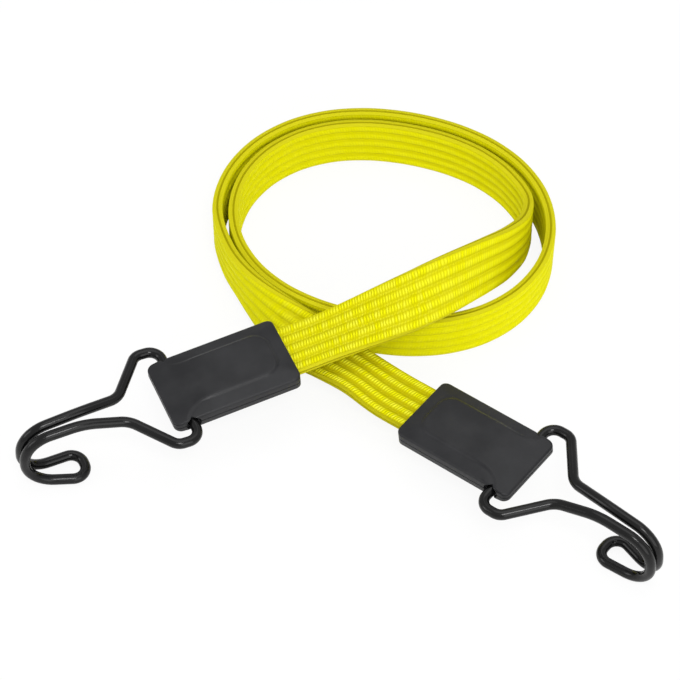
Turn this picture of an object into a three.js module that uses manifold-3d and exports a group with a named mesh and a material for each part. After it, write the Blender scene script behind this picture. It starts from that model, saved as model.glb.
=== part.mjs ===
// Flat elastic tie-down strap: a woven cover over five rubber strands, wound one and a half turns on its
// edge, with a moulded two-shell housing on each end that carries a double hook bent from one steel wire.
// Millimetres, +Z up. The origin lies on the table, midway between the two end fittings.

import * as THREE from 'three';
import { mergeVertices } from 'three/addons/utils/BufferGeometryUtils.js';
import Module from 'manifold-3d';

// The strap's section
const bandWidth = 18;
const bandThickness = 3.4;
const ribCount = 5;
const ribHeight = 0.35;
const coverWall = 0.35;
const edgeWall = 0.6;
const strandClearance = 0.25;
const ribFlatShare = 0.56;
const edgeFlatShare = 0.7;

// The ring that the strap is wound into: a spiral seen from above, slightly oval
const ringCentre = { x: 16.9, y: 89 };
const ringRadius = 42.6;
const turnGap = 1.9;
const ringOvality = 5.1;
const ovalDirection = -13;
const firstTurnAngle = 10;
const lastTurnAngle = 535;
const turnStep = 15;

// The two leads, point by point: x, y, height and lean. Lean 0 stands on edge, 90 lies flat with the
// outer face up.
const leftLead = [
  [-15, 33, 18.5, 90],
  [-2.7, 38.5, 19, 90],
  [10.3, 43, 22, 79],
  [23.6, 47.5, 25.5, 61],
  [36, 54, 27, 42],
  [46.5, 63, 23.8, 27],
  [55, 73.5, 17.8, 13],
  [61, 85, 12.2, 3],
];
const rightLead = [
  [-35.5, 79.5, 10, 0],
  [-29.5, 66.5, 11.2, 2],
  [-21.5, 55, 11.8, 18],
  [-12.5, 45.5, 11.4, 50],
  [-2.5, 38, 11.2, 83],
  [7.5, 30.5, 11.2, 96],
  [17, 22.4, 11.3, 90],
  [26.3, 14.8, 12.7, 90],
];
const leadSteps = 2;
const gapSamples = 3;

// The strap's end inside a housing, and the steel crimp round it
const mouthClearance = 0.3;
const mouthDepth = 10.5;
const crimpClearance = 0.3;
const crimpLength = 8;
const crimpWall = 0.4;
const crimpCorner = 0.8;
const crimpSeam = 1.2;
const strapTail = 1.7;
const pocketEndRoom = 1;

// The moulded shells
const housingWall = 2.5;
const roofWall = 1.5;
const panelStep = 0.5;
const mouthLip = 0.9;
const rimWall = 0.6;
const noseHeight = 1.6;
const margin = 4.6;
const wedgeLength = 12.5;
const cornerRadius = 2.2;
const panelCorner = 5;
const flareReach = 8;
const seatSetback = 14.5;
const pivotInset = 6;
const partingGap = 0.3;
const arcSegments = 5;

// The two pins that place one shell on the other
const pinRadius = 1.3;
const pinLength = 2;
const pinSpacing = 13;
const pinClearance = 0.3;

// The hook's wire and its seat
const wireDiameter = 3;
const wireEndGap = 8;
const seatClearance = 0.3;
const recessRadius = 2.5;
const recessDepth = 1.1;

// The hook, from its pivot line outwards: bends, reaches and half widths
const shoulderGap = 5.7;
const shoulderReach = 7.5;
const shoulderBend = 4;
const neckReach = 18.2;
const neckHalfWidth = 4.7;
const neckBend = 7;
const shankReach = 32;
const shankHalfWidth = 2.4;
const shankRise = 2;
const shankBend = 30;
const hookReach = 50.5;
const wireSpacing = 3.8;
const hookDrop = 18.6;
const hookBend = 9;
const tipReach = 31.5;
const tipHalfWidth = 5.3;
const tipSet = 2.6;
const tipBend = 4;
const bendStep = 22;
const wireSides = 10;

// How each housing lies, in degrees
const leftEnd = { heading: 204, pitch: -2 };
const rightEnd = { heading: -39, pitch: 6.5 };

const overrun = 1;
const weld = 0.001;

// Sizes that follow from those above
const channelWidth = bandWidth - 2 * edgeWall;
const channelHeight = bandThickness - 2 * (ribHeight + coverWall);
const crimpPlace = mouthDepth + crimpClearance;
const strapInset = crimpPlace + crimpLength + strapTail;
const pocketEnd = strapInset + pocketEndRoom;
const pivotPlace = pocketEnd + seatSetback;
const housingLength = pivotPlace + pivotInset;
const crimpOffset = crimpClearance + crimpWall;
const pocketOffset = crimpOffset + crimpClearance;
const housingWidth = bandWidth + 2 * (pocketOffset + housingWall);
const panelHeight = bandThickness / 2 + pocketOffset + roofWall;
const shoulderHeight = panelHeight - panelStep;
const mouthHeight = bandThickness / 2 + mouthClearance + mouthLip;
const wireRadius = wireDiameter / 2;
const seatRadius = wireRadius + seatClearance;
const sideHeight = seatRadius + rimWall;

const wasm = await Module();
wasm.setup();

const yellowWeave = { color: 0xd9d91e, roughness: 0.85, metalness: 0 };
const paleRubber = { color: 0xcfc6a8, roughness: 0.7, metalness: 0 };
const blackMoulding = { color: 0x35363a, roughness: 0.45, metalness: 0 };
const zincPlate = { color: 0x9a9da0, roughness: 0.35, metalness: 0.9 };
const blackCoating = { color: 0x2a2a2c, roughness: 0.4, metalness: 0.2 };

function radians(degrees) {
  return THREE.MathUtils.degToRad(degrees);
}

function mesh(name, geometry, finish) {
  const made = new THREE.Mesh(geometry, new THREE.MeshStandardMaterial(finish));
  made.name = name;
  return made;
}

// A closed geometry as a solid for joining and cutting, and back.
function solid(geometry) {
  const bare = geometry.index ? geometry.toNonIndexed() : geometry.clone();
  bare.deleteAttribute('normal');
  bare.deleteAttribute('uv');
  const merged = mergeVertices(bare, weld);
  return new wasm.Manifold(new wasm.Mesh({
    numProp: 3,
    vertProperties: merged.attributes.position.array,
    triVerts: Uint32Array.from(merged.index.array),
  }));
}

function geometryOf(shape) {
  const result = shape.getMesh();
  const geometry = new THREE.BufferGeometry();
  geometry.setAttribute('position', new THREE.BufferAttribute(result.vertProperties, 3));
  geometry.setIndex(new THREE.BufferAttribute(result.triVerts, 1));
  const faceted = geometry.toNonIndexed();
  faceted.computeVertexNormals();
  return faceted;
}

// One closed body: a flat section carried from place to place, with an end face at each end.
function sweep(section, places) {
  const count = section.length;
  const positions = [];
  for (const place of places) {
    for (const point of section) {
      const corner = place.at.clone().addScaledVector(place.u, point.x).addScaledVector(place.v, point.y);
      positions.push(corner.x, corner.y, corner.z);
    }
  }
  const faces = [];
  for (let ring = 0; ring < places.length - 1; ring++) {
    for (let side = 0; side < count; side++) {
      const next = (side + 1) % count;
      const a = ring * count + side;
      const b = ring * count + next;
      faces.push(a, b, b + count, a, b + count, a + count);
    }
  }
  const last = (places.length - 1) * count;
  for (const [a, b, c] of THREE.ShapeUtils.triangulateShape(section, [])) {
    faces.push(a, c, b, last + a, last + b, last + c);
  }
  const geometry = new THREE.BufferGeometry();
  geometry.setAttribute('position', new THREE.Float32BufferAttribute(positions, 3));
  geometry.setIndex(faces);
  const faceted = geometry.toNonIndexed();
  faceted.computeVertexNormals();
  return faceted;
}

// The strap's route. Each point is a place on its centre line with its lean.
function direction({ heading, pitch }) {
  const flat = Math.cos(radians(pitch));
  const x = Math.cos(radians(heading)) * flat;
  const y = Math.sin(radians(heading)) * flat;
  return new THREE.Vector3(x, y, Math.sin(radians(pitch)));
}

function leadPoint([x, y, z, lean]) {
  return { at: new THREE.Vector3(x, y, z), lean };
}

function insetPoint(mouth, end) {
  return { at: mouth.at.clone().addScaledVector(direction(end), strapInset), lean: mouth.lean };
}

function ringPoint(angle) {
  const turns = angle / 360;
  const oval = ringOvality * Math.cos(radians(2 * (angle - ovalDirection)));
  const radius = ringRadius + (bandThickness + turnGap) * turns + oval;
  const x = ringCentre.x + radius * Math.cos(radians(angle));
  const y = ringCentre.y + radius * Math.sin(radians(angle));
  return { at: new THREE.Vector3(x, y, bandWidth / 2), lean: 0 };
}

function strapRoute() {
  const left = leftLead.map(leadPoint);
  const right = rightLead.map(leadPoint);
  const ring = [];
  for (let angle = firstTurnAngle; angle <= lastTurnAngle; angle += turnStep) {
    ring.push(ringPoint(angle));
  }
  const leftMouth = left[0];
  const rightMouth = right[right.length - 1];
  const points = [
    insetPoint(leftMouth, leftEnd),
    ...left,
    ...ring,
    ...right,
    insetPoint(rightMouth, rightEnd),
  ];
  const ringFirst = 1 + left.length;
  return { points, ringFirst, ringLast: ringFirst + ring.length - 1 };
}

// Across the strap and out of its outer face, at a place with a given direction and lean.
function strapPlace(at, run, lean) {
  const leftward = new THREE.Vector3(-run.y, run.x, 0).normalize();
  const upward = run.clone().cross(leftward);
  const sine = Math.sin(radians(lean));
  const cosine = Math.cos(radians(lean));
  const u = upward.clone().multiplyScalar(cosine).addScaledVector(leftward, sine);
  const v = upward.multiplyScalar(sine).addScaledVector(leftward, -cosine);
  return { at, run, u, v };
}

function strapPlaces() {
  const { points, ringFirst, ringLast } = strapRoute();
  const line = new THREE.CatmullRomCurve3(points.map((point) => point.at), false, 'catmullrom');
  const leans = new THREE.CatmullRomCurve3(
    points.map((point) => new THREE.Vector3(point.lean, 0, 0)), false, 'catmullrom');
  const places = [];
  const spans = points.length - 1;
  for (let span = 0; span < spans; span++) {
    const straight = span === 0 || span === spans - 1;
    const steps = straight || (span >= ringFirst && span < ringLast) ? 1 : leadSteps;
    for (let step = 0; step < steps; step++) {
      const share = (span + step / steps) / spans;
      places.push(strapPlace(line.getPoint(share), line.getTangent(share), leans.getPoint(share).x));
    }
  }
  places.push(strapPlace(line.getPoint(1), line.getTangent(1), leans.getPoint(1).x));
  return places;
}

// The places with their two ends moved on, so that a cut runs out of both end faces.
function withOverrun(places) {
  const moved = places.map((place) => ({ ...place }));
  const first = moved[0];
  const last = moved[moved.length - 1];
  first.at = first.at.clone().addScaledVector(first.run, -overrun);
  last.at = last.at.clone().addScaledVector(last.run, overrun);
  return moved;
}

// The ribbed outline: x runs across the strap and y out of its outer face.
function ribbedSection() {
  const pitch = bandWidth / ribCount;
  const face = [];
  for (let rib = 0; rib < ribCount; rib++) {
    const centre = -bandWidth / 2 + pitch * (rib + 0.5);
    const flat = pitch * ribFlatShare / 2;
    if (rib > 0) {
      face.push([centre - pitch / 2, bandThickness / 2 - ribHeight]);
    }
    face.push([centre - flat, bandThickness / 2], [centre + flat, bandThickness / 2]);
  }
  const edge = bandThickness / 2 * edgeFlatShare;
  const half = [[-bandWidth / 2, edge], ...face, [bandWidth / 2, edge]];
  const turned = half.map(([x, y]) => [-x, -y]);
  return [...half, ...turned].reverse().map(([x, y]) => new THREE.Vector2(x, y));
}

// A rectangle across the strap, with as many steps along its two long sides as asked.
function rectangle(x, width, height, steps) {
  const side = [];
  for (let step = 0; step <= steps; step++) {
    side.push([width * (step / steps - 1 / 2), -height / 2]);
  }
  const turned = side.map(([a, b]) => [-a, -b]);
  return [...side, ...turned].map(([a, b]) => new THREE.Vector2(x + a, b));
}

function wovenSheath(places) {
  const outside = solid(sweep(ribbedSection(), places));
  const channel = rectangle(0, channelWidth, channelHeight, ribCount);
  const inside = solid(sweep(channel, withOverrun(places)));
  return mesh('woven_sheath', geometryOf(outside.subtract(inside)), yellowWeave);
}

function rubberStrands(places) {
  const height = channelHeight - 2 * strandClearance;
  const pitch = channelWidth / ribCount;
  const strands = [];
  for (let strand = 0; strand < ribCount; strand++) {
    const x = pitch * (strand - (ribCount - 1) / 2);
    const section = rectangle(x, pitch - 2 * strandClearance, height, 1);
    strands.push(mesh(`rubber_strand_${strand + 1}`, sweep(section, places), paleRubber));
  }
  return strands;
}

// The place at a share of the way from one place to the next, as the straight facets run.
function between(from, to, share) {
  return {
    at: from.at.clone().lerp(to.at, share),
    u: from.u.clone().lerp(to.u, share),
    v: from.v.clone().lerp(to.v, share),
  };
}

// The strap's length and its least gap to itself: points on the section's outline, at and between the
// places, against the strap's rectangle wherever it is more than twice its width further on.
function leastGap(places) {
  const outline = ribbedSection();
  const runs = [0];
  for (let i = 1; i < places.length; i++) {
    runs.push(runs[i - 1] + places[i].at.distanceTo(places[i - 1].at));
  }
  let least = Infinity;
  for (let i = 0; i < (places.length - 1) * gapSamples; i++) {
    const span = Math.floor(i / gapSamples);
    const here = between(places[span], places[span + 1], (i % gapSamples) / gapSamples);
    for (const point of outline) {
      const spot = here.at.clone().addScaledVector(here.u, point.x).addScaledVector(here.v, point.y);
      for (let j = 0; j < places.length - 1; j++) {
        const chord = places[j + 1].at.clone().sub(places[j].at);
        const share = spot.clone().sub(places[j].at).dot(chord) / chord.lengthSq();
        if (share < 0 || share > 1 || Math.abs(runs[span] - runs[j]) < 2 * bandWidth) {
          continue;
        }
        const there = between(places[j], places[j + 1], share);
        const offset = spot.clone().sub(there.at);
        const wide = Math.max(0, Math.abs(offset.dot(there.u)) - bandWidth / 2);
        const deep = Math.max(0, Math.abs(offset.dot(there.v)) - bandThickness / 2);
        least = Math.min(least, Math.hypot(wide, deep));
      }
    }
  }
  return { least, length: runs[runs.length - 1] };
}

// Housing shells. The shapes below lie in the housing's own frame: x from the mouth to the hook end, y
// across and z up from the parting plane.
const forwards = new THREE.Vector3(1, 0, 0);
const sideways = new THREE.Vector3(0, 1, 0);
const upwards = new THREE.Vector3(0, 0, 1);

function shape(points) {
  return new THREE.Shape(points.map(([x, y]) => new THREE.Vector2(x, y)));
}

function extruded(profile, depth) {
  return new THREE.ExtrudeGeometry(profile, { depth, bevelEnabled: false, curveSegments: arcSegments });
}

// A profile of x and z carried across the housing.
function sideProfile(points) {
  const width = housingWidth + 2 * overrun;
  return solid(extruded(shape(points), width).rotateX(Math.PI / 2).translate(0, width / 2, 0));
}

// A profile of y and z carried along the housing from one place to another.
function crossProfile(points, from, to) {
  const geometry = extruded(shape(points), to - from);
  geometry.applyMatrix4(new THREE.Matrix4().makeBasis(sideways, upwards, forwards));
  return solid(geometry.translate(from, 0, 0));
}

function roundedPlan() {
  const half = housingWidth / 2;
  const r = cornerRadius;
  const plan = new THREE.Shape();
  plan.moveTo(r, -half);
  plan.absarc(housingLength - r, -half + r, r, -Math.PI / 2, 0, false);
  plan.absarc(housingLength - r, half - r, r, 0, Math.PI / 2, false);
  plan.absarc(r, half - r, r, Math.PI / 2, Math.PI, false);
  plan.absarc(r, -half + r, r, Math.PI, 3 * Math.PI / 2, false);
  return solid(extruded(plan, panelHeight).translate(0, 0, partingGap / 2));
}

// The raised panel: round corners at the mouth, and a hollow flare out to each side along the wedge.
function panelPlan() {
  const half = housingWidth / 2 - margin;
  const r = panelCorner;
  const flareStart = housingLength - wedgeLength;
  const plan = new THREE.Shape();
  plan.moveTo(margin + r, -half);
  plan.lineTo(flareStart, -half);
  plan.absellipse(flareStart, -half - margin, flareReach, margin, Math.PI / 2, 0, true);
  plan.lineTo(housingLength, -half - margin);
  plan.lineTo(housingLength, half + margin);
  plan.lineTo(flareStart + flareReach, half + margin);
  plan.absellipse(flareStart, half + margin, flareReach, margin, 0, -Math.PI / 2, true);
  plan.lineTo(margin + r, half);
  plan.absarc(margin + r, half - r, r, Math.PI / 2, Math.PI, false);
  plan.absarc(margin + r, -half + r, r, Math.PI, 3 * Math.PI / 2, false);
  return solid(extruded(plan, panelHeight));
}

function shellBody() {
  const half = housingWidth / 2;
  const wedgeStart = housingLength - wedgeLength;
  const base = sideProfile([[0, 0], [housingLength, 0], [housingLength, noseHeight],
    [wedgeStart, shoulderHeight], [margin, shoulderHeight], [0, mouthHeight]])
    .intersect(crossProfile([[-half, 0], [half, 0], [half, sideHeight], [half - margin, shoulderHeight],
      [-half + margin, shoulderHeight], [-half, sideHeight]], 0, housingLength));
  const raised = sideProfile([[0, 0], [housingLength, 0], [housingLength, noseHeight],
    [wedgeStart, panelHeight], [0, panelHeight]]).intersect(panelPlan());
  return base.add(raised).intersect(roundedPlan());
}

// The strap's section grown by an offset, with its corners cut.
function strapOutline(offset, corner) {
  const x = bandWidth / 2 + offset;
  const y = bandThickness / 2 + offset;
  return [[-x + corner, -y], [x - corner, -y], [x, -y + corner], [x, y - corner],
    [x - corner, y], [-x + corner, y], [-x, y - corner], [-x, -y + corner]];
}

function rod(radius, length) {
  return new THREE.CylinderGeometry(radius, radius, length, 4 * arcSegments);
}

// The wire's half bore from one side face inwards, with the round recess in the side wall.
function wireSeat(side) {
  const inner = wireEndGap / 2 - seatClearance;
  const outer = housingWidth / 2 + overrun;
  const bore = rod(seatRadius, outer - inner).translate(pivotPlace, side * (outer + inner) / 2, 0);
  const recess = rod(recessRadius, 2 * recessDepth).translate(pivotPlace, side * housingWidth / 2, 0);
  return solid(bore).add(solid(recess));
}

function shell(lower) {
  const slot = crossProfile(strapOutline(mouthClearance, 0), -overrun, pocketEnd);
  const pocket = crossProfile(strapOutline(pocketOffset, crimpCorner), mouthDepth, pocketEnd);
  const radius = lower ? pinRadius + pinClearance : pinRadius;
  const reach = lower ? pinLength + pinClearance : pinLength;
  const pinPlace = (pocketEnd + pivotPlace - seatRadius) / 2;
  let body = shellBody().subtract(slot).subtract(pocket).subtract(wireSeat(1)).subtract(wireSeat(-1));
  for (const side of [1, -1]) {
    const pin = rod(radius, 2 * reach).rotateX(Math.PI / 2).translate(pinPlace, side * pinSpacing / 2, 0);
    body = lower ? body.subtract(solid(pin)) : body.add(solid(pin));
  }
  return geometryOf(body);
}

// A steel strip folded round the strap's end, with its seam underneath.
function endCrimp() {
  const outer = strapOutline(crimpOffset, crimpCorner);
  const inner = strapOutline(crimpClearance, crimpCorner);
  const height = bandThickness / 2 + crimpOffset + overrun;
  const half = crimpSeam / 2;
  const seam = [[-half, -height], [half, -height], [half, 0], [-half, 0]];
  const ring = crossProfile(outer, 0, crimpLength)
    .subtract(crossProfile(inner, -overrun, crimpLength + overrun))
    .subtract(crossProfile(seam, -overrun, crimpLength + overrun));
  return geometryOf(ring);
}

// A bent wire's centre line: straight runs between corners, and each corner rounded to its own bend.
function bentLine(corners) {
  const points = [corners[0].at];
  for (let i = 1; i < corners.length - 1; i++) {
    const corner = corners[i].at;
    const back = corners[i - 1].at.clone().sub(corner).normalize();
    const ahead = corners[i + 1].at.clone().sub(corner).normalize();
    const half = back.angleTo(ahead) / 2;
    const turn = Math.PI - 2 * half;
    const cut = corners[i].bend / Math.tan(half);
    const middle = back.clone().add(ahead).normalize();
    const centre = corner.clone().addScaledVector(middle, corners[i].bend / Math.sin(half));
    const start = corner.clone().addScaledVector(back, cut).sub(centre);
    const axis = back.clone().cross(ahead).normalize().negate();
    const steps = Math.max(1, Math.ceil(turn / radians(bendStep)));
    for (let step = 0; step <= steps; step++) {
      points.push(start.clone().applyAxisAngle(axis, turn * step / steps).add(centre));
    }
  }
  points.push(corners[corners.length - 1].at);
  return points;
}

// Places along a line of points, each turned from the one before by the least turn.
function tubePlaces(points, firstAcross) {
  const places = [];
  let u = firstAcross;
  for (let i = 0; i < points.length; i++) {
    const back = points[Math.max(0, i - 1)];
    const ahead = points[Math.min(points.length - 1, i + 1)];
    const run = ahead.clone().sub(back).normalize();
    u = u.clone().addScaledVector(run, -u.dot(run)).normalize();
    places.push({ at: points[i], run, u, v: run.clone().cross(u) });
  }
  return places;
}

// Half of the hook's corners, from the wire's end in the housing to the middle of the turned tip.
function halfHook(side) {
  const shoulder = side * (housingWidth / 2 + shoulderGap);
  const spacing = side * wireSpacing / 2;
  return [
    [0, side * wireEndGap / 2, 0, 0],
    [0, shoulder, 0, shoulderBend],
    [shoulderReach, shoulder, 0, shoulderBend],
    [neckReach, side * neckHalfWidth, 0, neckBend],
    [shankReach, side * shankHalfWidth, shankRise, shankBend],
    [hookReach, spacing, 0, hookBend],
    [hookReach, spacing, -hookDrop, hookBend],
    [tipReach, side * tipHalfWidth + tipSet, -hookDrop, tipBend],
  ];
}

function wireHook() {
  const corners = [...halfHook(1), ...halfHook(-1).reverse()]
    .map(([x, y, z, bend]) => ({ at: new THREE.Vector3(x, y, z), bend }));
  const section = [];
  for (let side = 0; side < wireSides; side++) {
    const angle = 2 * Math.PI * side / wireSides;
    section.push(new THREE.Vector2(wireRadius * Math.cos(angle), wireRadius * Math.sin(angle)));
  }
  return sweep(section, tubePlaces(bentLine(corners), upwards));
}

// How far a hook is turned up from the level, so that its tip rests on the table.
function restingTilt(pivotHeight) {
  const reach = Math.hypot(tipReach, hookDrop);
  return Math.atan2(hookDrop, tipReach) - Math.asin((pivotHeight - wireRadius) / reach);
}

// An end fitting in place: its frame's x runs on from the strap's end, and its z out of the outer face.
function endFitting(name, place, end) {
  const x = direction(end);
  const fitting = new THREE.Group();
  fitting.quaternion.setFromRotationMatrix(
    new THREE.Matrix4().makeBasis(x, place.v.clone().cross(x), place.v));
  fitting.position.copy(place.at).addScaledVector(x, -strapInset);
  fitting.add(mesh(`${name}_upper_shell`, shell(false), blackMoulding));
  const lower = mesh(`${name}_lower_shell`, shell(true), blackMoulding);
  lower.rotation.x = Math.PI;
  fitting.add(lower);
  const crimp = mesh(`${name}_end_crimp`, endCrimp(), zincPlate);
  crimp.position.x = crimpPlace;
  fitting.add(crimp);
  const pivotHeight = fitting.position.z + pivotPlace * x.z;
  const hook = mesh(`${name}_wire_hook`, wireHook(), blackCoating);
  hook.position.x = pivotPlace;
  hook.rotation.y = radians(end.pitch) - restingTilt(pivotHeight);
  fitting.add(hook);
  return fitting;
}

const group = new THREE.Group();
const places = strapPlaces();
group.add(wovenSheath(places), ...rubberStrands(places));
group.add(endFitting('left', places[0], leftEnd));
group.add(endFitting('right', places[places.length - 1], rightEnd));

const { least, length } = leastGap(places);
console.log(`strap ${length.toFixed(1)} mm long, least gap to itself ${least.toFixed(2)} mm`);

export default group;
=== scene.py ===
import math

import bmesh
import bpy
from mathutils import Matrix, Vector


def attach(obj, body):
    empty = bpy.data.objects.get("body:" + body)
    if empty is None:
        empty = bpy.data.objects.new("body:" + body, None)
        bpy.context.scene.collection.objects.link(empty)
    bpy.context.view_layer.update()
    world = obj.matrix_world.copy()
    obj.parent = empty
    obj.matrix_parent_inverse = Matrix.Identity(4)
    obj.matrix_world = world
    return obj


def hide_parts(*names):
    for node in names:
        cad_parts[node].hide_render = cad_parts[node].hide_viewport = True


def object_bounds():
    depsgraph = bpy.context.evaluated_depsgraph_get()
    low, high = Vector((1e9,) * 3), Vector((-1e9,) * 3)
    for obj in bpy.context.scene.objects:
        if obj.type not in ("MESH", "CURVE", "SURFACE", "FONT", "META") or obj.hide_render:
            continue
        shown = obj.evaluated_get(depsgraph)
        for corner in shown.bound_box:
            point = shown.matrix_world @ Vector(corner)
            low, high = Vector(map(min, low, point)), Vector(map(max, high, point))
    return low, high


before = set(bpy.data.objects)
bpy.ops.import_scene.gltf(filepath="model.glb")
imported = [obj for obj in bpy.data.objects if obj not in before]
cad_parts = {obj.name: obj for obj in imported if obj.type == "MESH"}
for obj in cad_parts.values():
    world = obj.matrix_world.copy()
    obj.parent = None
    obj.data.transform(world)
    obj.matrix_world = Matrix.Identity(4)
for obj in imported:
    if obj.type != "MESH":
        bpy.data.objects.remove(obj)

cad_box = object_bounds()


# The studio: a photographer's view from above with a long lens, a pale floor that runs out to white, and
# soft boxes above, in front and at the left. None of it belongs to the strap.
ring_view = (0.0015, 0.045, 0.009)
camera_place = (0.0015, -0.4365, 0.6479)
lens_length = 134.3
film_width = 36
soft_boxes = (  # name, place, width in metres and power in watts
    ("camera_box", (0.12, -0.5, 0.95), 0.3, 4.4),
    ("overhead_box", (0.12, 0.3, 1.05), 0.8, 2.8),
    ("front_box", (0.55, -0.85, 0.5), 0.8, 4.1),
    ("left_box", (-0.9, -0.1, 0.5), 0.45, 1.8),
)
fill_colour = (1.0, 0.995, 0.98, 1.0)
fill_strength = 0.55
wall_strength = 1.0
paper_colour = (0.93, 0.93, 0.93, 1.0)
paper_glow_share = 0.9
floor_reach = 4
floor_gap = 0.0002


def set_out(name, data, place=(0, 0, 0), target=None):
    """Puts a new object in the scene, turned to face its target where it has one."""
    thing = bpy.data.objects.new(name, data)
    thing.location = place
    if target is not None:
        thing.rotation_euler = (Vector(target) - Vector(place)).to_track_quat("-Z", "Y").to_euler()
    bpy.context.scene.collection.objects.link(thing)
    return thing


lens = bpy.data.cameras.new("camera")
lens.lens = lens_length
lens.sensor_width = film_width
bpy.context.scene.camera = set_out("camera", lens, camera_place, ring_view)
bpy.context.scene.view_settings.view_transform = "Standard"

for name, place, width, power in soft_boxes:
    lamp = bpy.data.lights.new(name, "AREA")
    lamp.shape = "SQUARE"
    lamp.size = width
    lamp.energy = power
    set_out(name, lamp, place, ring_view)


def white_to_eye(tree, lit, seen, out, ray_names):
    """Shows one shader to the rays that look for the background and another to the light."""
    rays = tree.nodes.new("ShaderNodeLightPath")
    share = rays.outputs[ray_names[0]]
    for name in ray_names[1:]:
        either = tree.nodes.new("ShaderNodeMath")
        either.operation = "MAXIMUM"
        tree.links.new(share, either.inputs[0])
        tree.links.new(rays.outputs[name], either.inputs[1])
        share = either.outputs[0]
    mix = tree.nodes.new("ShaderNodeMixShader")
    tree.links.new(share, mix.inputs[0])
    tree.links.new(lit.outputs[0], mix.inputs[1])
    tree.links.new(seen.outputs[0], mix.inputs[2])
    tree.links.new(mix.outputs[0], out.inputs[0])


world = bpy.data.worlds.new("studio")
world.use_nodes = True
bpy.context.scene.world = world
sky = world.node_tree
sky.nodes.clear()
fill_light = sky.nodes.new("ShaderNodeBackground")
fill_light.inputs["Color"].default_value = fill_colour
fill_light.inputs["Strength"].default_value = fill_strength
pale_wall = sky.nodes.new("ShaderNodeBackground")
pale_wall.inputs["Strength"].default_value = wall_strength
sky_out = sky.nodes.new("ShaderNodeOutputWorld")
background_rays = ["Is Camera Ray", "Is Glossy Ray", "Is Transmission Ray"]
white_to_eye(sky, fill_light, pale_wall, sky_out, background_rays)

paper = bpy.data.materials.new("white_paper")
paper.use_nodes = True
paper_tree = paper.node_tree
paper_tree.nodes.clear()
paper_lit = paper_tree.nodes.new("ShaderNodeBsdfDiffuse")
paper_lit.inputs["Color"].default_value = paper_colour
paper_seen = paper_tree.nodes.new("ShaderNodeMixShader")
paper_glow = paper_tree.nodes.new("ShaderNodeEmission")
paper_seen.inputs[0].default_value = paper_glow_share
paper_tree.links.new(paper_lit.outputs[0], paper_seen.inputs[1])
paper_tree.links.new(paper_glow.outputs[0], paper_seen.inputs[2])
paper_out = paper_tree.nodes.new("ShaderNodeOutputMaterial")
white_to_eye(paper_tree, paper_lit, paper_seen, paper_out, ["Is Camera Ray"])

floor_corners = [(x * floor_reach, y * floor_reach, 0) for x, y in ((-1, -1), (1, -1), (1, 1), (-1, 1))]
floor_mesh = bpy.data.meshes.new("floor")
floor_mesh.from_pydata(floor_corners, [], [(0, 1, 2, 3)])
floor_mesh.materials.append(paper)
floor = set_out("floor", floor_mesh, (0, 0, cad_box[0][2] - floor_gap))


# The strap's route: one length of band, laid in a ring of one and a half turns on its edge, with a lead
# to each housing. Each point is x, y and height in metres, with the band's lean in degrees.
band_width = 0.018
band_thickness = 0.0034
turn_gap = 0.0019
strap_inset = 0.0205
left_lead = [
    (-0.015, 0.033, 0.0185, 90),
    (-0.0027, 0.0385, 0.019, 90),
    (0.0103, 0.043, 0.022, 79),
    (0.0236, 0.0475, 0.0255, 61),
    (0.036, 0.054, 0.027, 42),
    (0.0465, 0.063, 0.0238, 27),
    (0.055, 0.0735, 0.0178, 13),
    (0.061, 0.085, 0.0122, 3),
]
right_lead = [
    (-0.0355, 0.0795, 0.010, 0),
    (-0.0295, 0.0665, 0.0112, 2),
    (-0.0215, 0.055, 0.0118, 18),
    (-0.0125, 0.0455, 0.0114, 50),
    (-0.0025, 0.038, 0.0112, 83),
    (0.0075, 0.0305, 0.0112, 96),
    (0.017, 0.0224, 0.0113, 90),
    (0.0263, 0.0148, 0.0127, 90),
]
ring_centre = (0.0169, 0.089)
ring_radius = 0.0426
ring_angles = range(10, 536, 15)
turn_spacing = band_thickness + turn_gap
ring_ovality = 0.0051
oval_direction = -13
steps_per_span = 6
housing_lie = {"left": (204, -2), "right": (-39, 6.5)}  # heading and pitch, in degrees


def housing_direction(side):
    """The way a housing points, from the strap's mouth to its hook end."""
    heading, pitch = (math.radians(angle) for angle in housing_lie[side])
    level = math.cos(pitch)
    return Vector((math.cos(heading) * level, math.sin(heading) * level, math.sin(pitch)))


def inset_point(mouth, side):
    """The strap's end, inside the housing."""
    return (*(Vector(mouth[:3]) + housing_direction(side) * strap_inset), mouth[3])


def ring_points():
    """The ring, slightly oval, growing outwards as it winds so that its turns lie side by side."""
    points = []
    for angle in ring_angles:
        oval = ring_ovality * math.cos(math.radians(2 * (angle - oval_direction)))
        radius = ring_radius + turn_spacing * angle / 360 + oval
        x = ring_centre[0] + radius * math.cos(math.radians(angle))
        y = ring_centre[1] + radius * math.sin(math.radians(angle))
        points.append((x, y, band_width / 2, 0))
    return points


def smooth_route(points, steps):
    """A smooth line through every point, with the same number of steps in each span."""
    places = [Vector(point) for point in points]
    ahead = [2 * places[0] - places[1], *places, 2 * places[-1] - places[-2]]
    line = []
    for before, start, end, after in zip(ahead, ahead[1:], ahead[2:], ahead[3:]):
        leaving = (end - before) / 2
        arriving = (after - start) / 2
        for step in range(steps):
            t = step / steps
            bend = (3 * (end - start) - 2 * leaving - arriving) * t ** 2
            turn = (2 * (start - end) + leaving + arriving) * t ** 3
            line.append(start + leaving * t + bend + turn)
    line.append(places[-1])
    return line


def cornered_curve(name, corners):
    """A curve with straight runs between corners, each an x, y, z and one number more."""
    curve = bpy.data.curves.new(name, "CURVE")
    curve.dimensions = "3D"
    spline = curve.splines.new("POLY")
    spline.points.add(len(corners) - 1)
    for knot, (x, y, z, _) in zip(spline.points, corners):
        knot.co = (x, y, z, 1)
    return curve


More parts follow.
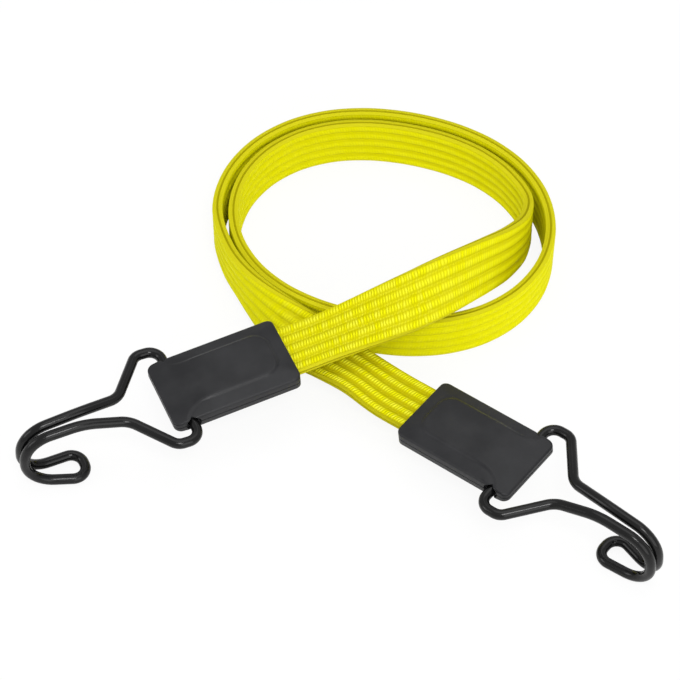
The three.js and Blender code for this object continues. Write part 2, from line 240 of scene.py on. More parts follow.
strap_points = [inset_point(left_lead[0], "left"), *left_lead, *ring_points(), *right_lead,
                inset_point(right_lead[-1], "right")]
strap_line = smooth_route(strap_points, steps_per_span)
route_curve = cornered_curve("strap_route", strap_line)
route_curve.twist_mode = "Z_UP"
for knot, place in zip(route_curve.splines[0].points, strap_line):
    knot.tilt = -math.radians(place[3])


# The woven cover: a flat tube of polyester yarn knitted over the rubber, with five round ribs on each
# face and a double selvedge on each edge, and held by a crimp at each end. A node tree sweeps its ribbed
# section along the route.
rib_count = 5
rib_depth = 0.00058
rib_roundness = 2.2
selvedge_depth = 0.00035
section_points = 150
channel_width = 0.0168
channel_height = 0.002
cover_crease = math.radians(60)

# Across the band, as shares of its half width: where the ribs stop, where the edge rounds over, and
# where the edge's own yarn, coloured with painted shade, takes over.
ribs_end = 0.955
ribs_end_steepness = 40.0
edge_start = 0.93
edge_span = 0.07
edge_rounding = 0.6
edge_reach = (0.93, 0.97)

# Across one rib, from 0 on its crown to 0.5 at the bottom of the groove: where the chain of stitches,
# the groove's shade and the bars change. The pipings are told by shares of the band's half thickness.
seam_reach = (0.37, 0.45)
groove_reach = (0.16, 0.38)
bar_reach = (0.02, 0.42)
piping_reach = (0.1, 0.5)

# The bars' pitch in metres, and their slant, wobble and shift from rib to rib in bars. The chain leans
# the other way. Then how high the bars, the chain and the edge's yarn stand; this height sets both the
# bump and the painted highlight and shade in the yarn's colour.
bar_pitch = 0.00093
bar_slant = 0.9
bar_wobble = 0.7
wobble_scale = 450.0
rib_shift = 0.37
chain_slant = -1.4
bar_sharpness = 1.5
bar_low = 0.15
chain_swing, chain_base = 0.6, 0.12
edge_swing, edge_base = 0.2, 0.5

# Along the strap, in metres from its left end: the ribs slacken into the ring, ease round it, and are
# drawn tight again towards the right housing. Then how even the slack yarn is, and how deep the grooves'
# shade is at each place.
slack_places = (0.045, 0.115)
eased_places = (0.16, 0.24)
drawn_places = (0.6, 0.64)
slack_evenness = 0.8
even_swing, even_thread = 0.12, 0.62
groove_shade = 0.26
drawn_shade = 0.48
open_shade = 0.3
slack_relief = 0.14

# The yarn's yellows: painted shade for the hollows, the grooves and the edges, and painted highlight for
# the crowns and the stitches. Then how much shows of the stitches' painted highlight, the warm patches
# and the edge's painted shade.
hollow_shade_yellow = (0.52, 0.49, 0.0, 1)
lit_crown_yellow = (0.86, 0.855, 0.0, 1)
stitch_highlight_yellow = (0.96, 0.96, 0.14, 1)
warm_yellow = (0.74, 0.65, 0.0, 1)
shaded_yellow = (0.42, 0.36, 0.0, 1)
piping_gap_shade_yellow = (0.26, 0.22, 0.0, 1)
edge_shade_yellow = (0.54, 0.5, 0.01, 1)
drawn_edge_shade_yellow = (0.3, 0.26, 0.0, 1)
sheen_yellow = (1.0, 0.95, 0.1, 1)
stitch_highlight_share = 0.4
warm_share = 0.25
warm_patch_scale = 70.0
drawn_edge_shade_share = 0.6
edge_shade_share = 0.85


class NodeDesk:
    """Lays out the nodes of one tree and joins them."""

    def __init__(self, tree):
        self.tree = tree

    def add(self, kind, settings=None, **inputs):
        """A new node. A socket's name is written with an underscore for each space."""
        node = self.tree.nodes.new(kind)
        for name, value in (settings or {}).items():
            setattr(node, name, value)
        for name, value in inputs.items():
            self.put(node.inputs[name.replace("_", " ")], value)
        return node

    def put(self, socket, value):
        if isinstance(value, bpy.types.NodeSocket):
            self.tree.links.new(value, socket)
        else:
            socket.default_value = value

    def calc(self, operation, *values):
        node = self.tree.nodes.new("ShaderNodeMath")
        node.operation = operation
        for socket, value in zip(node.inputs, values):
            self.put(socket, value)
        return node.outputs[0]

    def plus(self, a, b):
        return self.calc("ADD", a, b)

    def minus(self, a, b):
        return self.calc("SUBTRACT", a, b)

    def times(self, first, *others):
        for other in others:
            first = self.calc("MULTIPLY", first, other)
        return first

    def over(self, a, b):
        return self.calc("DIVIDE", a, b)

    def rest(self, share):
        """What a share leaves of one."""
        return self.calc("SUBTRACT", 1.0, share)

    def fade(self, value, start, end, low=0.0, high=1.0):
        """A smooth change from low to high as the value goes from start to end."""
        return self.add("ShaderNodeMapRange", {"interpolation_type": "SMOOTHSTEP"}, Value=value,
                        From_Min=start, From_Max=end, To_Min=low, To_Max=high).outputs[0]

    def blend(self, share, low, high):
        """A colour between two, by a share."""
        node = self.tree.nodes.new("ShaderNodeMix")
        node.data_type = "RGBA"
        for place, value in ((0, share), (6, low), (7, high)):
            self.put(node.inputs[place], value)
        return node.outputs[2]

    def store(self, shape, name, value):
        """The shape with a number kept on it by name, for its material to read."""
        return self.add("GeometryNodeStoreNamedAttribute", {"data_type": "FLOAT"}, Geometry=shape,
                        Name=name, Value=value).outputs[0]

    def rectangle(self, width, height):
        return self.add("GeometryNodeCurvePrimitiveQuadrilateral", Width=width, Height=height).outputs[0]

    def sweep(self, path, section, capped=False):
        return self.add("GeometryNodeCurveToMesh", Curve=path, Profile_Curve=section,
                        Fill_Caps=capped).outputs[0]

    def real(self, shape):
        return self.add("GeometryNodeRealizeInstances", Geometry=shape).outputs[0]


def group_tree(name, kind, inputs, outputs):
    """A node tree with named sockets: its desk, what comes in, and the node that takes what goes out."""
    tree = bpy.data.node_groups.new(name, kind)
    for direction, sockets in (("INPUT", inputs), ("OUTPUT", outputs)):
        for socket, socket_kind in sockets.items():
            tree.interface.new_socket(socket, in_out=direction, socket_type="NodeSocket" + socket_kind)
    desk = NodeDesk(tree)
    return desk, desk.add("NodeGroupInput").outputs, desk.add("NodeGroupOutput")


def shape_tree(name, sizes):
    """A geometry tree with one named input for each size."""
    geometry = {"Geometry": "Geometry"}
    return group_tree(name, "GeometryNodeTree", geometry | sizes, geometry)


def dress(desk, out, shape, material):
    """Ends a geometry tree with plain faces of one material."""
    dressed = desk.add("GeometryNodeSetMaterial", Geometry=desk.real(shape), Material=material)
    desk.put(out.inputs[0], dressed.outputs[0])


def applied(thing):
    """The mesh of an object with its modifiers applied."""
    bpy.context.view_layer.update()
    graph = bpy.context.evaluated_depsgraph_get()
    return bpy.data.meshes.new_from_object(thing.evaluated_get(graph), preserve_all_data_layers=True,
                                           depsgraph=graph)


def grown(name, curve, tree, values):
    """The plain mesh that a geometry tree makes from a curve."""
    source = set_out(name + "_path", curve)
    modifier = source.modifiers.new(name, "NODES")
    modifier.node_group = tree
    for item in tree.interface.items_tree:
        if item.in_out == "INPUT" and item.name in values:
            modifier[item.identifier] = values[item.name]
    mesh = applied(source)
    mesh.name = name
    bpy.data.objects.remove(source)
    return set_out(name, mesh)


def band_tree():
    """The cover: its ribbed outside and its channel, swept along the route and left open at the ends."""
    desk, given, out = shape_tree("woven_band", {
        "Width": "Float", "Thickness": "Float", "Ribs": "Int", "Rib Depth": "Float",
        "Selvedge Depth": "Float", "Section Points": "Int", "Channel Width": "Float",
        "Channel Height": "Float", "Yarn": "Material"})

    def outline_of(width, height):
        return desk.add("GeometryNodeResampleCurve", Curve=desk.rectangle(width, height),
                        Count=given["Section Points"]).outputs[0]

    run = desk.add("GeometryNodeSplineParameter").outputs["Length"]
    path = desk.store(given["Geometry"], "along", run)
    position = desk.add("GeometryNodeInputPosition").outputs[0]
    apart = desk.add("ShaderNodeSeparateXYZ", Vector=position).outputs
    outline = outline_of(given["Thickness"], given["Width"])
    outline = desk.store(outline, "across", apart["Y"])
    outline = desk.store(outline, "through", apart["X"])
    half_width = desk.times(given["Width"], 0.5)
    half_thickness = desk.times(given["Thickness"], 0.5)
    edgeward = desk.over(desk.calc("ABSOLUTE", apart["Y"]), half_width)
    outward = desk.over(apart["X"], half_thickness)
    across = desk.plus(desk.over(apart["Y"], given["Width"]), 0.5)
    rib = desk.minus(desk.calc("FRACT", desk.times(across, given["Ribs"])), 0.5)
    rib = desk.calc("POWER", desk.times(desk.calc("ABSOLUTE", rib), 2.0), rib_roundness)
    face = desk.times(desk.minus(ribs_end, edgeward), ribs_end_steepness)
    face = desk.calc("MINIMUM", desk.calc("MAXIMUM", face, 0.0), 1.0)
    groove = desk.times(rib, face, given["Rib Depth"])
    edge = desk.calc("MAXIMUM", desk.over(desk.minus(edgeward, edge_start), edge_span), 0.0)
    rounding = desk.calc("SQRT", desk.rest(desk.times(edge, edge, edge_rounding)))
    flat = desk.rest(desk.over(groove, half_thickness))
    thick = desk.times(apart["X"], flat, rounding)
    lobe = desk.calc("COSINE", desk.times(outward, 2 * math.pi))
    lobe = desk.times(desk.plus(lobe, 1.0), 0.5)
    lobe = desk.times(lobe, given["Selvedge Depth"], edge)
    wide = desk.minus(apart["Y"], desk.times(lobe, desk.calc("SIGN", apart["Y"])))
    shaped = desk.add("ShaderNodeCombineXYZ", X=thick, Y=wide).outputs[0]
    outline = desk.add("GeometryNodeSetPosition", Geometry=outline, Position=shaped).outputs[0]
    outside = desk.sweep(path, outline)
    inside = desk.sweep(path, outline_of(given["Channel Height"], given["Channel Width"]))
    inside = desk.add("GeometryNodeFlipFaces", Mesh=inside).outputs[0]
    both = desk.add("GeometryNodeJoinGeometry")
    desk.put(both.inputs[0], outside)
    desk.put(both.inputs[0], inside)
    dress(desk, out, both.outputs[0], given["Yarn"])
    return desk.tree


def weave_group():
    """Bars of yarn over each rib, a chain of stitches in each groove, and two pipings on each edge."""
    desk, given, out = group_tree(
        "rib_weave", "ShaderNodeTree",
        dict.fromkeys(("Along", "Across", "Through", "Bar Pitch", "Rib Pitch", "Slant", "Half Width",
                       "Half Thickness"), "Float"),
        dict.fromkeys(("Yarn", "Groove", "Chain", "Stitch", "Edge", "Piping"), "Float"))

    def wave(turns):
        return desk.calc("ABSOLUTE", desk.calc("SINE", desk.times(turns, math.pi)))

    # The half puts the middle rib's crown on the band's middle, and the 20 keeps every count positive.
    count = desk.plus(desk.over(given["Across"], given["Rib Pitch"]), 20 + 0.5)
    rib = desk.calc("FLOOR", count)
    middle = desk.minus(desk.calc("FRACT", count), 0.5)
    side = desk.calc("ABSOLUTE", middle)
    seam = desk.fade(side, *seam_reach)
    spot = desk.add("ShaderNodeCombineXYZ", X=given["Along"], Y=given["Across"]).outputs[0]
    wobble = desk.add("ShaderNodeTexNoise", Vector=spot, Scale=wobble_scale, Detail=1.0).outputs["Fac"]
    turns = desk.plus(desk.over(given["Along"], given["Bar Pitch"]), desk.times(wobble, bar_wobble))
    bars = desk.plus(turns, desk.times(middle, given["Slant"]))
    bars = desk.plus(bars, desk.times(rib, rib_shift))
    number = desk.add("ShaderNodeCombineXYZ", X=desk.calc("FLOOR", bars), Y=rib).outputs[0]
    stitch = desk.add("ShaderNodeTexWhiteNoise", Vector=number).outputs["Value"]
    bar = desk.calc("POWER", wave(bars), bar_sharpness)
    bar = desk.times(bar, desk.fade(side, *bar_reach, 1.0, bar_low))
    chain = wave(desk.plus(turns, desk.times(middle, chain_slant)))
    chain = desk.plus(desk.times(chain, chain_swing), chain_base)
    edgeward = desk.over(desk.calc("ABSOLUTE", given["Across"]), given["Half Width"])
    edge = desk.fade(edgeward, *edge_reach)
    face = desk.rest(edge)
    outward = desk.over(given["Through"], given["Half Thickness"])
    edge_yarn = desk.plus(desk.times(chain, edge_swing), edge_base)
    yarn = desk.plus(desk.times(bar, desk.rest(seam)), desk.times(chain, seam))
    yarn = desk.plus(desk.times(yarn, face), desk.times(edge, edge_yarn))
    desk.put(out.inputs["Yarn"], yarn)
    desk.put(out.inputs["Groove"], desk.times(desk.fade(side, *groove_reach), face))
    desk.put(out.inputs["Chain"], desk.times(chain, seam, face))
    desk.put(out.inputs["Stitch"], stitch)
    desk.put(out.inputs["Edge"], edge)
    desk.put(out.inputs["Piping"], desk.fade(desk.calc("ABSOLUTE", outward), *piping_reach))
    return desk.tree


def plain_finish(name, **constants):
    """A material with a Principled shader, its output, and the numbers that are the same all over."""
    finish = bpy.data.materials.new(name)
    finish.use_nodes = True
    desk = NodeDesk(finish.node_tree)
    finish.node_tree.nodes.clear()
    shader = desk.add("ShaderNodeBsdfPrincipled", **constants)
    out = desk.add("ShaderNodeOutputMaterial")
    desk.put(out.inputs["Surface"], shader.outputs[0])
    return finish, desk, shader


def raise_surface(desk, shader, height, strength, distance):
    bump = desk.add("ShaderNodeBump", Strength=strength, Distance=distance, Height=height)
    desk.put(shader.inputs["Normal"], bump.outputs[0])


def yarn_finish():
    """Bright yellow yarn: clear bars where the strap is drawn tight, softer and even where it is slack. Its
    colour carries painted highlight on the bars, crowns and stitches, and painted shade between the bars,
    in the grooves and on the edges.
    """
    finish, desk, shader = plain_finish(
        "yellow_yarn", Roughness=0.6, Specular_IOR_Level=0.03, Sheen_Weight=0.03, Sheen_Roughness=0.4,
        Sheen_Tint=sheen_yellow)
    along, across, through = (desk.add("ShaderNodeAttribute", {"attribute_name": name}).outputs["Fac"]
                              for name in ("along", "across", "through"))
    weave = desk.add("ShaderNodeGroup", {"node_tree": weave_group()}, Along=along, Across=across,
                     Through=through, Bar_Pitch=bar_pitch, Rib_Pitch=band_width / rib_count,
                     Slant=bar_slant, Half_Width=band_width / 2, Half_Thickness=band_thickness / 2).outputs
    place = desk.add("ShaderNodeCombineXYZ", X=along, Y=across).outputs[0]
    patch = desk.add("ShaderNodeTexNoise", Vector=place, Scale=warm_patch_scale, Detail=3.0).outputs["Fac"]
    drawn = desk.fade(along, *drawn_places)
    slack = desk.times(desk.fade(along, *slack_places), desk.rest(drawn))
    open_ribs = desk.times(slack, desk.rest(desk.fade(along, *eased_places)))
    firm = desk.rest(desk.times(slack, slack_evenness))
    even = desk.plus(desk.times(weave["Chain"], even_swing), even_thread)
    thread = desk.plus(desk.times(weave["Yarn"], firm), desk.times(desk.rest(firm), even))
    # Painted highlight and shade: the colour follows the yarn's height, lighter on the bars and the ribs'
    # crowns and darker between the bars and towards the grooves.
    yarn = desk.blend(thread, hollow_shade_yellow, lit_crown_yellow)
    # Painted highlight: stitches picked at random turn pale, most where the yarn stands high on the crowns
    # and where the strap is firm.
    pale = desk.times(thread, firm, stitch_highlight_share)
    yarn = desk.blend(desk.times(weave["Stitch"], pale), yarn, stitch_highlight_yellow)
    yarn = desk.blend(desk.times(patch, warm_share), yarn, warm_yellow)
    shade = desk.plus(desk.times(drawn, drawn_shade), desk.times(open_ribs, open_shade))
    shade = desk.plus(shade, desk.minus(groove_shade, desk.times(slack, slack_relief)))
    yarn = desk.blend(desk.times(weave["Groove"], shade), yarn, shaded_yellow)
    # Painted shade on the edges: darker than the faces, darkest in the valley between the two pipings, and
    # darker again where the strap is drawn tight.
    edge = desk.blend(weave["Piping"], piping_gap_shade_yellow, edge_shade_yellow)
    edge = desk.blend(desk.times(drawn, drawn_edge_shade_share), edge, drawn_edge_shade_yellow)
    yarn = desk.blend(desk.times(weave["Edge"], edge_shade_share), yarn, edge)
    desk.put(shader.inputs["Base Color"], yarn)
    raise_surface(desk, shader, thread, strength=0.9, distance=0.00025)
    return finish


def close_ends(piece):
    """Joins the outside to the channel at each end of the band."""
    form = bmesh.new()
    form.from_mesh(piece.data)
    open_edges = [edge for edge in form.edges if edge.is_boundary]
    start = Vector(strap_line[0][:3])
    for near in (True, False):
        loop = [edge for edge in open_edges if ((edge.verts[0].co - start).length < 2 * band_width) == near]
        bmesh.ops.bridge_loops(form, edges=loop)
    for face in form.faces:
        face.smooth = True
    form.to_mesh(piece.data)
    form.free()


cover_sizes = {"Width": band_width, "Thickness": band_thickness, "Ribs": rib_count, "Rib Depth": rib_depth,
               "Selvedge Depth": selvedge_depth, "Section Points": section_points,
               "Channel Width": channel_width, "Channel Height": channel_height, "Yarn": yarn_finish()}
woven_cover = grown("woven_cover", route_curve, band_tree(), cover_sizes)
close_ends(woven_cover)
woven_cover.data.set_sharp_from_angle(angle=cover_crease)
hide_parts("woven_sheath")
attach(woven_cover, "strap")


# The rubber: five square-cut strands side by side in the cover's channel, one under each rib. They give
# the strap its pull. One tree sweeps the row of five along the route.
strand_pitch = channel_width / rib_count
strand_width = 0.00286
strand_height = 0.0015
cut_rubber = (0.44, 0.37, 0.24, 1)
talced_rubber = (0.66, 0.61, 0.5, 1)
talc_scale = 900.0


def strand_tree():
    desk, given, out = shape_tree("rubber_strands", {
        "Strands": "Int", "Pitch": "Float", "Strand Width": "Float", "Strand Height": "Float",
        "Rubber": "Material"})
    first = desk.times(desk.minus(given["Strands"], 1.0), desk.times(given["Pitch"], -0.5))
    start = desk.add("ShaderNodeCombineXYZ", Y=first).outputs[0]
    step = desk.add("ShaderNodeCombineXYZ", Y=given["Pitch"]).outputs[0]
    row = desk.add("GeometryNodeMeshLine", Count=given["Strands"], Start_Location=start,
                   Offset=step).outputs[0]
    square = desk.rectangle(given["Strand Height"], given["Strand Width"])
    row = desk.add("GeometryNodeInstanceOnPoints", Points=row, Instance=square).outputs[0]
    strands = desk.sweep(given["Geometry"], desk.real(row), capped=True)
    dress(desk, out, strands, given["Rubber"])
    return desk.tree


def rubber_finish():
    finish, desk, shader = plain_finish("cut_rubber", Roughness=0.8)
    place = desk.add("ShaderNodeTexCoord").outputs["Object"]
    talc = desk.add("ShaderNodeTexNoise", Vector=place, Scale=talc_scale, Detail=4.0).outputs["Fac"]
    desk.put(shader.inputs["Base Color"], desk.blend(talc, cut_rubber, talced_rubber))
    raise_surface(desk, shader, talc, strength=0.3, distance=0.0001)
    return finish


strand_sizes = {"Strands": rib_count, "Pitch": strand_pitch, "Strand Width": strand_width,
                "Strand Height": strand_height, "Rubber": rubber_finish()}
strands = grown("rubber_strands", route_curve, strand_tree(), strand_sizes)
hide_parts("rubber_strand_1", "rubber_strand_2", "rubber_strand_3", "rubber_strand_4",
            "rubber_strand_5")
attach(strands, "strap")


# The housings: two black moulded shells on each end of the strap, pinned and welded face to face. Each
# has a raised panel that flares out to both sides before the wedge at its hook end, and softened edges.
housing_length = 0.042
housing_width = 0.025
half_width = housing_width / 2
wedge_length = 0.0125
wedge_start = housing_length - wedge_length
side_height = 0.0024
mouth_height = 0.0029
shoulder_height = 0.0037
panel_height = 0.0042
nose_height = 0.0016
margin = 0.0046
flare_reach = 0.008
plan_corner = 0.0022
panel_corner = 0.005
panel_step = 0.0013
bevel_softness = 0.0004
wedge_softness = 0.0006
panel_softness = 0.0007
edge_round = 0.0006
parting_half = 0.00015
edge_rows, length_rows, width_rows = 5, 104, 62
shell_crease = math.radians(38)

# The strap's slot and the crimp's pocket as width, height and cut corner, and from where to where.
slot_size, slot_ends = (0.0186, 0.004, 0.0002), (-0.001, 0.0215)
pocket_size, pocket_ends = (0.02, 0.0054, 0.0008), (0.0105, 0.0215)

# The wire's half bores and side recesses, and the two locating pins with their sockets.
pivot_place = 0.036
seat_radius, seat_length, seat_middle = 0.0018, 0.0098, 0.0086
recess_radius, recess_depth = 0.0025, 0.0011
pin_along, pin_aside = 0.02785, 0.0065
pin_radius, pin_height = 0.0013, 0.002
socket_radius, socket_depth = 0.0016, 0.0023
rod_sides = 40

deep_black = (0.015, 0.0152, 0.0168, 1)
worn_black = (0.023, 0.0233, 0.0252, 1)
flow_scale = 120.0
flow_range = (0.35, 0.7)
smudge_dullness = 0.1


def lesser(a, b, softness):
    """The lesser of two heights, with the corner between them rounded."""
    share = max(0.0, min(1.0, 0.5 + 0.5 * (b - a) / softness))
    return b + (a - b) * share - softness * share * (1 - share)


def panel_distance(x, y):
    """How far a place lies inside the raised panel's outline, less than nothing outside it."""
    y = abs(y)
    half = half_width - margin
    if x < margin + panel_corner and y > half - panel_corner:
        return panel_corner - math.hypot(margin + panel_corner - x, y - half + panel_corner)
    if x < wedge_start:
        return min(half - y, x - margin)
    across = (half + margin - y) / margin
    ahead = (x - wedge_start) / flare_reach
    reach = math.hypot(across, ahead)
    steepness = math.hypot(across / margin, ahead / flare_reach)
    return reach * (reach - 1) / steepness if steepness > 1 else -margin


def shell_height(x, y):
    """The shell's top: its margins slope down to the sides and the mouth, and the wedge to the nose."""
    slope = (shoulder_height - side_height) / margin
    cross = lesser(side_height + (half_width - abs(y)) * slope, shoulder_height, bevel_softness)
    front = mouth_height + x * (shoulder_height - mouth_height) / margin
    drop = (housing_length - x) / wedge_length
    wedge = nose_height + drop * (shoulder_height - nose_height)
    raised_wedge = nose_height + drop * (panel_height - nose_height)
    base = lesser(lesser(cross, front, bevel_softness), wedge, wedge_softness)
    raised = lesser(panel_height, raised_wedge, panel_softness)
    share = max(0.0, min(1.0, 0.5 + panel_distance(x, y) / panel_step))
    share = share * share * (3 - 2 * share)
    return base + (max(raised, base) - base) * share


def spread(length, middle):
    """Places along a length, close together at both ends where the edge is rounded."""
    turns = [edge_round * (1 - math.cos(math.pi / 2 * i / edge_rows)) for i in range(edge_rows)]
    inner = length - 2 * edge_round
    steps = [edge_round + inner * i / middle for i in range(middle + 1)]
    return turns + steps + [length - place for place in reversed(turns)]


def solid(name, form):
    """The closed solid in a form, its faces turned outwards."""
    bmesh.ops.recalc_face_normals(form, faces=form.faces)
    mesh = bpy.data.meshes.new(name)
    form.to_mesh(mesh)
    form.free()
    return set_out(name, mesh)


def shell_solid(name):
    """One shell, in the housing's own frame: x from the mouth, z up from the parting plane."""
    form = bmesh.new()
    rows = []
    for x in spread(housing_length, length_rows):
        inset = min(x, housing_length - x)
        corner = max(0.0, plan_corner - inset)
        half = half_width - plan_corner + math.sqrt(max(plan_corner ** 2 - corner ** 2, 0))
        row = []
        for across in spread(2 * half, width_rows):
            y = across - half
            edge = min(inset, half - abs(y))
            if inset < plan_corner and abs(y) > half_width - plan_corner:
                reach = math.hypot(plan_corner - inset, abs(y) - half_width + plan_corner)
                edge = min(edge, plan_corner - reach)
            lift = max(0.0, min(edge, edge_round))
            fall = edge_round - math.sqrt(max(0.0, edge_round ** 2 - (edge_round - lift) ** 2))
            row.append(form.verts.new((x, y, shell_height(x, y) - fall)))
        rows.append(row)
    for near, far in zip(rows, rows[1:]):
        for i in range(len(near) - 1):
            form.faces.new((near[i], far[i], far[i + 1], near[i + 1]))
    rim = [row[0] for row in rows] + rows[-1][1:] + [row[-1] for row in reversed(rows[:-1])]
    rim += list(reversed(rows[0][1:-1]))
    foot = [form.verts.new((v.co.x, v.co.y, parting_half)) for v in rim]
    for i, top in enumerate(rim):
        follow = (i + 1) % len(rim)
        form.faces.new((top, foot[i], foot[follow], rim[follow]))
    form.faces.new(list(reversed(foot)))
    return solid(name, form)


def block_cutter(size, ends):
    """A block with cut corners along the housing, for the strap's slot and the crimp's pocket."""
    width, height, corner = size
    x, z = width / 2, height / 2
    ring = [(-x + corner, -z), (x - corner, -z), (x, -z + corner), (x, z - corner), (x - corner, z),
            (-x + corner, z), (-x, z - corner), (-x, -z + corner)]
    form = bmesh.new()
    near, far = [[form.verts.new((end, a, b)) for a, b in ring] for end in ends]
    form.faces.new(near)
    form.faces.new(list(reversed(far)))
    for i in range(len(ring)):
        follow = (i + 1) % len(ring)
        form.faces.new((near[i], far[i], far[follow], near[follow]))
    return solid("cutter", form)


def rod_cutter(radius, length, place, turn=0):
    form = bmesh.new()
    lie = Matrix.Translation(place) @ Matrix.Rotation(turn, 4, "X")
    bmesh.ops.create_cone(form, cap_ends=True, segments=rod_sides, radius1=radius, radius2=radius,
                          depth=length, matrix=lie)
    return solid("cutter", form)


def cut(shell, tool, operation="DIFFERENCE"):
    modifier = shell.modifiers.new("cut", "BOOLEAN")
    modifier.object = tool
    modifier.operation = operation
    modifier.solver = "EXACT"
    mesh = applied(shell)
    shell.modifiers.clear()
    shell.data = mesh
    bpy.data.objects.remove(tool)


def grain_group():
    """The fine spark-eroded grain and faint flow marks of a moulded face."""
    desk, given, out = group_tree("moulded_grain", "ShaderNodeTree",
                                  {"Place": "Vector", "Grain Scale": "Float"},
                                  {"Grain": "Float", "Smudge": "Float"})
    fine = desk.add("ShaderNodeTexNoise", Vector=given["Place"], Scale=given["Grain Scale"], Detail=3.0,
                    Roughness=0.6).outputs["Fac"]
    broad = desk.add("ShaderNodeTexNoise", Vector=given["Place"], Scale=flow_scale,
                     Detail=5.0).outputs["Fac"]
    smudge = desk.add("ShaderNodeMapRange", Value=broad, From_Min=flow_range[0],
                      From_Max=flow_range[1]).outputs[0]
    desk.put(out.inputs["Grain"], fine)
    desk.put(out.inputs["Smudge"], smudge)
    return desk.tree


grain = grain_group()


def grained_black(name, colours, grain_scale, roughness, shine, strength, distance):
    """A black finish whose flow marks change its colour and gloss, and whose grain stands in relief."""
    finish, desk, shader = plain_finish(name, Specular_IOR_Level=shine)
    place = desk.add("ShaderNodeTexCoord").outputs["Object"]
    marks = desk.add("ShaderNodeGroup", {"node_tree": grain}, Place=place, Grain_Scale=grain_scale).outputs
    desk.put(shader.inputs["Base Color"], desk.blend(marks["Smudge"], *colours))
    dullness = desk.plus(desk.times(marks["Smudge"], smudge_dullness), roughness)
    desk.put(shader.inputs["Roughness"], dullness)
    raise_surface(desk, shader, marks["Grain"], strength, distance)
    return finish


black_plastic = grained_black("black_moulding", (deep_black, worn_black), grain_scale=2600.0,
                              roughness=0.32, shine=0.19, strength=0.25, distance=0.00004)


def housing_place(side):
    """The housing's frame: its origin at the strap's mouth, x on towards the hook, z out of the panel."""
    mouth = Vector((left_lead[0] if side == "left" else right_lead[-1])[:3])
    x = housing_direction(side)
    y = Vector((0, 0, 1)).cross(x).normalized()
    z = x.cross(y)
    turn = Matrix((x, y, z)).transposed().to_4x4()
    return Matrix.Translation(mouth) @ turn


def make_shell(side, half):
    lower = half == "lower"
    shell = shell_solid(f"{side}_{half}_half")
    cut(shell, block_cutter(slot_size, slot_ends))
    cut(shell, block_cutter(pocket_size, pocket_ends))
    for hand in (1, -1):
        seat_place = (pivot_place, hand * seat_middle, 0)
        recess_place = (pivot_place, hand * half_width, 0)
        pin_place = (pin_along, hand * pin_aside, 0)
        cut(shell, rod_cutter(seat_radius, seat_length, seat_place, math.pi / 2))
        cut(shell, rod_cutter(recess_radius, 2 * recess_depth, recess_place, math.pi / 2))
        if lower:
            cut(shell, rod_cutter(socket_radius, 2 * socket_depth, pin_place))
        else:
            cut(shell, rod_cutter(pin_radius, 2 * pin_height, pin_place), "UNION")
    flip = Matrix.Rotation(math.pi, 4, "X") if lower else Matrix.Identity(4)
    shell.data.transform(housing_place(side) @ flip)
    shell.data.shade_smooth()
    shell.data.set_sharp_from_angle(angle=shell_crease)
    shell.data.materials.clear()
    shell.data.materials.append(black_plastic)
    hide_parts(f"{side}_{half}_shell")
    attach(shell, "strap")


for side in ("left", "right"):
    for half in ("upper", "lower"):
        make_shell(side, half)


# The crimps: a strip of zinc-plated steel folded round each end of the strap inside the housing, where it
# bears on a ledge and keeps the strap from pulling out. They are the solids' own pieces, with a plated
# finish.
zinc_grey = (0.52, 0.53, 0.54, 1)
zinc_pale = (0.66, 0.66, 0.64, 1)
crystal_scale = 700.0
zinc_roughness = 0.28
crystal_dullness = 0.2


def zinc_finish():
    finish, desk, shader = plain_finish("zinc_plate", Metallic=1.0)
    place = desk.add("ShaderNodeTexCoord").outputs["Object"]
    crystal = desk.add("ShaderNodeTexVoronoi", Vector=place, Scale=crystal_scale).outputs["Distance"]
    desk.put(shader.inputs["Base Color"], desk.blend(crystal, zinc_grey, zinc_pale))
    dullness = desk.plus(desk.times(crystal, crystal_dullness), zinc_roughness)
    desk.put(shader.inputs["Roughness"], dullness)
    return finish


zinc = zinc_finish()
for side in ("left", "right"):
    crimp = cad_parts[f"{side}_end_crimp"]
    crimp.data.materials.clear()
    crimp.data.materials.append(zinc)


# The hooks: each is one 3 mm steel wire with a black coating, bent into two shoulders, drawn together to
# a double shank, turned over and closed in a loop at the tip. Its two ends turn in the housing's bores. A
# tree rounds the bends and sweeps the wire.
wire_diameter = 0.003
coat_thickness = 0.00015
wire_sides = 24
bend_steps = 12
shoulder_width = 0.0182
shank_reach = 0.0505
tip_reach = 0.0315
hook_drop = 0.0186
wire_crease = math.radians(50)
coat_black = (0.003, 0.003, 0.0031, 1)
coat_worn = (0.006, 0.006, 0.0062, 1)


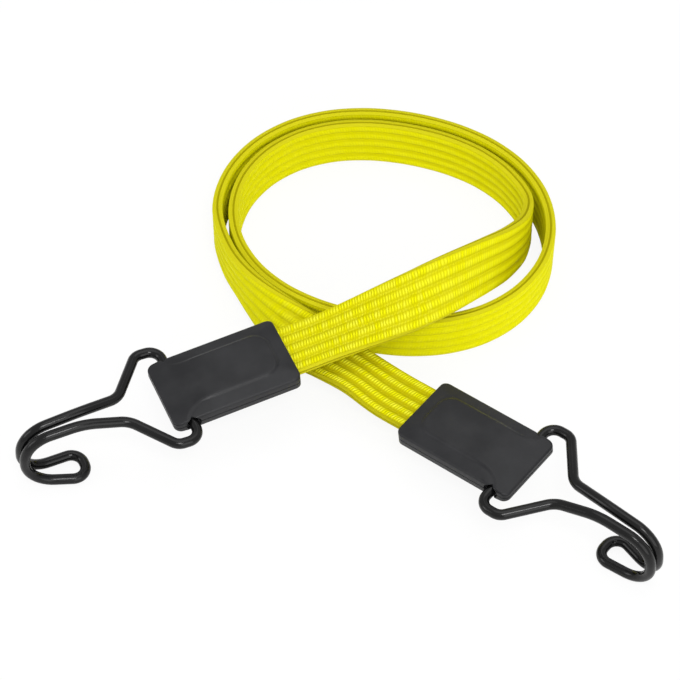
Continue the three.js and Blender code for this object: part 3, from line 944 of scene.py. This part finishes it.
def half_hook(hand):
    """Half of the wire's corners, from its end in the housing to the tip: x, y, z and bend."""
    return [
        (0, hand * 0.004, 0, 0),
        (0, hand * shoulder_width, 0, 0.004),
        (0.0075, hand * shoulder_width, 0, 0.004),
        (0.0182, hand * 0.0047, 0, 0.007),
        (0.032, hand * 0.0024, 0.002, 0.03),
        (shank_reach, hand * 0.0019, 0, 0.009),
        (shank_reach, hand * 0.0019, -hook_drop, 0.009),
        (tip_reach, hand * 0.0053 + 0.0026, -hook_drop, 0.004),
    ]


def hook_path():
    corners = half_hook(1) + half_hook(-1)[::-1]
    curve = cornered_curve("hook_path", corners)
    for knot, corner in zip(curve.splines[0].points, corners):
        knot.radius = corner[3]
    return curve


def wire_tree():
    """The wire's round section swept along the path, with a bend as wide as each corner's radius says."""
    desk, given, out = shape_tree("bent_wire", {
        "Wire Diameter": "Float", "Sides": "Int", "Bend Steps": "Int", "Coating": "Material"})
    bend = desk.add("GeometryNodeInputRadius").outputs[0]
    line = desk.add("GeometryNodeFilletCurve", {"mode": "POLY"}, Curve=given["Geometry"], Radius=bend,
                    Count=given["Bend Steps"]).outputs[0]
    line = desk.add("GeometryNodeSetCurveRadius", Curve=line, Radius=1.0).outputs[0]
    section = desk.add("GeometryNodeCurvePrimitiveCircle", Resolution=given["Sides"],
                       Radius=desk.times(given["Wire Diameter"], 0.5)).outputs[0]
    dress(desk, out, desk.sweep(line, section, capped=True), given["Coating"])
    return desk.tree


def resting_tilt(pivot_height):
    """How far a hook is turned up from the level, so that its tip rests on the table."""
    reach = math.hypot(tip_reach, hook_drop)
    return math.atan2(hook_drop, tip_reach) - math.asin((pivot_height - wire_diameter / 2) / reach)


black_coating = grained_black("black_coating", (coat_black, coat_worn), grain_scale=1500.0,
                              roughness=0.14, shine=0.24, strength=0.2, distance=0.00005)
wire_sizes = {"Wire Diameter": wire_diameter + 2 * coat_thickness, "Sides": wire_sides,
              "Bend Steps": bend_steps, "Coating": black_coating}
bent_wire = wire_tree()
for side in ("left", "right"):
    hook = grown(f"{side}_hook", hook_path(), bent_wire, wire_sizes)
    place = housing_place(side) @ Matrix.Translation((pivot_place, 0, 0))
    tilt = math.radians(housing_lie[side][1]) - resting_tilt(place.translation.z)
    hook.data.transform(place @ Matrix.Rotation(tilt, 4, "Y"))
    hook.data.shade_smooth()
    hook.data.set_sharp_from_angle(angle=wire_crease)
    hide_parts(f"{side}_wire_hook")
    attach(hook, f"{side}_hook")
